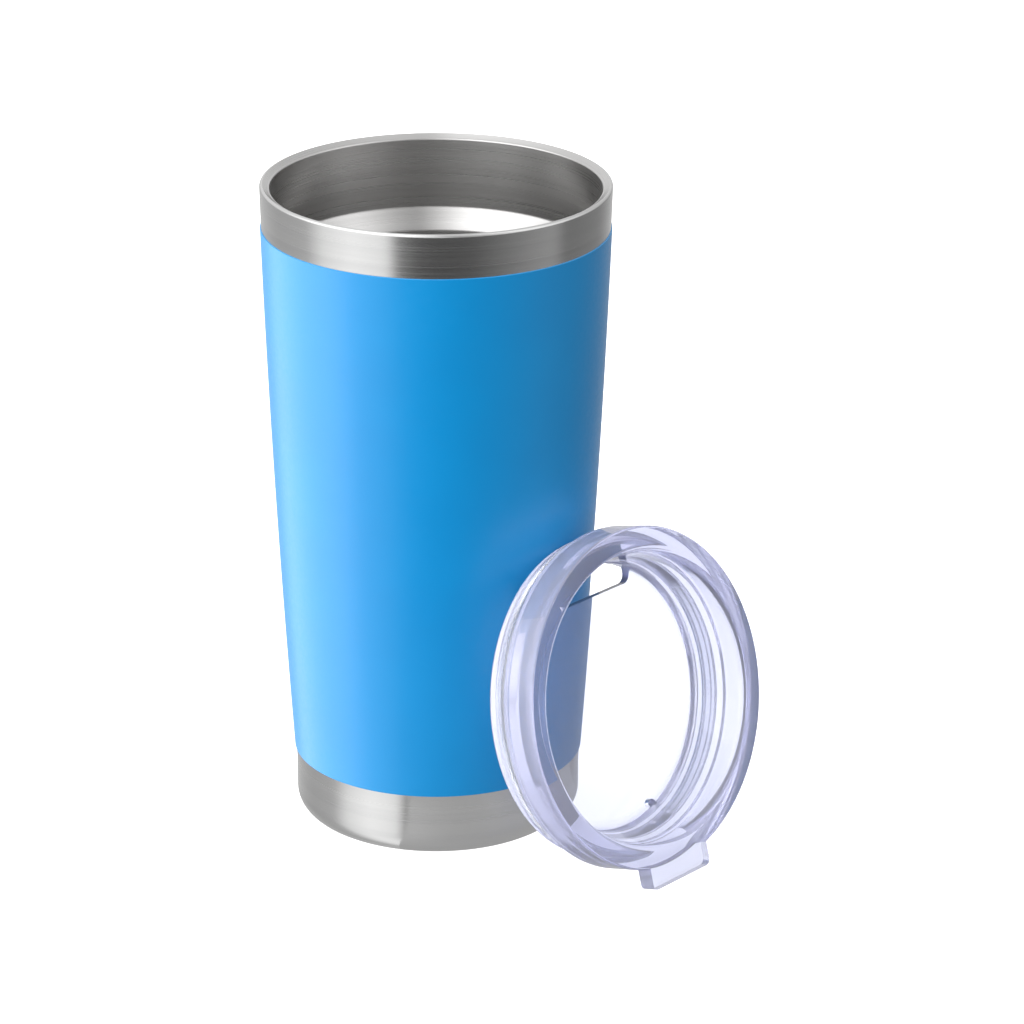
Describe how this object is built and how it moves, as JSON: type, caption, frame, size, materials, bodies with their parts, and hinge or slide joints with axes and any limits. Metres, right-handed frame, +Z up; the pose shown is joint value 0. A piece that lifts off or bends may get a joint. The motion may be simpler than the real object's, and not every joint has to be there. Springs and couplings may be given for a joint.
{
  "type": "insulated tumbler with lid",
  "caption": "Tall tapered double-wall steel tumbler with a blue coated band, and its clear press-in lid leaning beside it. Holds hot or cold drinks; the lid lifts away.",
  "frame": {"origin": "middle of the tumbler's flat base, on the surface it stands on", "axes": "+Z up along the tumbler's axis, out of its mouth; the lid leans on the tumbler's +X, -Y side"},
  "size_m": [0.1281, 0.1197, 0.17],
  "materials": {
    "brushed_shell": "brushed round the body",
    "satin_liner": "satin",
    "blue_coat": "glossy blue coat",
    "bright_foil": "bright foil",
    "plain_steel": "mill",
    "solder_glass": "glossy",
    "getter_grey": "sintered, matte",
    "clear_lid": "clear, polished",
    "clear_gasket": "translucent silicone"
  },
  "bodies": {
    "tumbler": {"outer_shell": "brushed_shell", "powder_coat": "blue_coat", "base_cap": "brushed_shell", "inner_liner": "satin_liner", "insulation_foil": "bright_foil", "vacuum_base": "plain_steel", "vacuum_seal": "solder_glass", "getter": "getter_grey", "getter_cup": "plain_steel"},
    "lid": {"lid_body": "clear_lid", "lid_gasket": "clear_gasket"}
  },
  "joints": [
    {"name": "lid_lift", "type": "slide", "parent": "tumbler", "child": "lid", "axis": [0.1926, -0.1728, 0.9659], "range_m": [0, 0.2]}
  ]
}
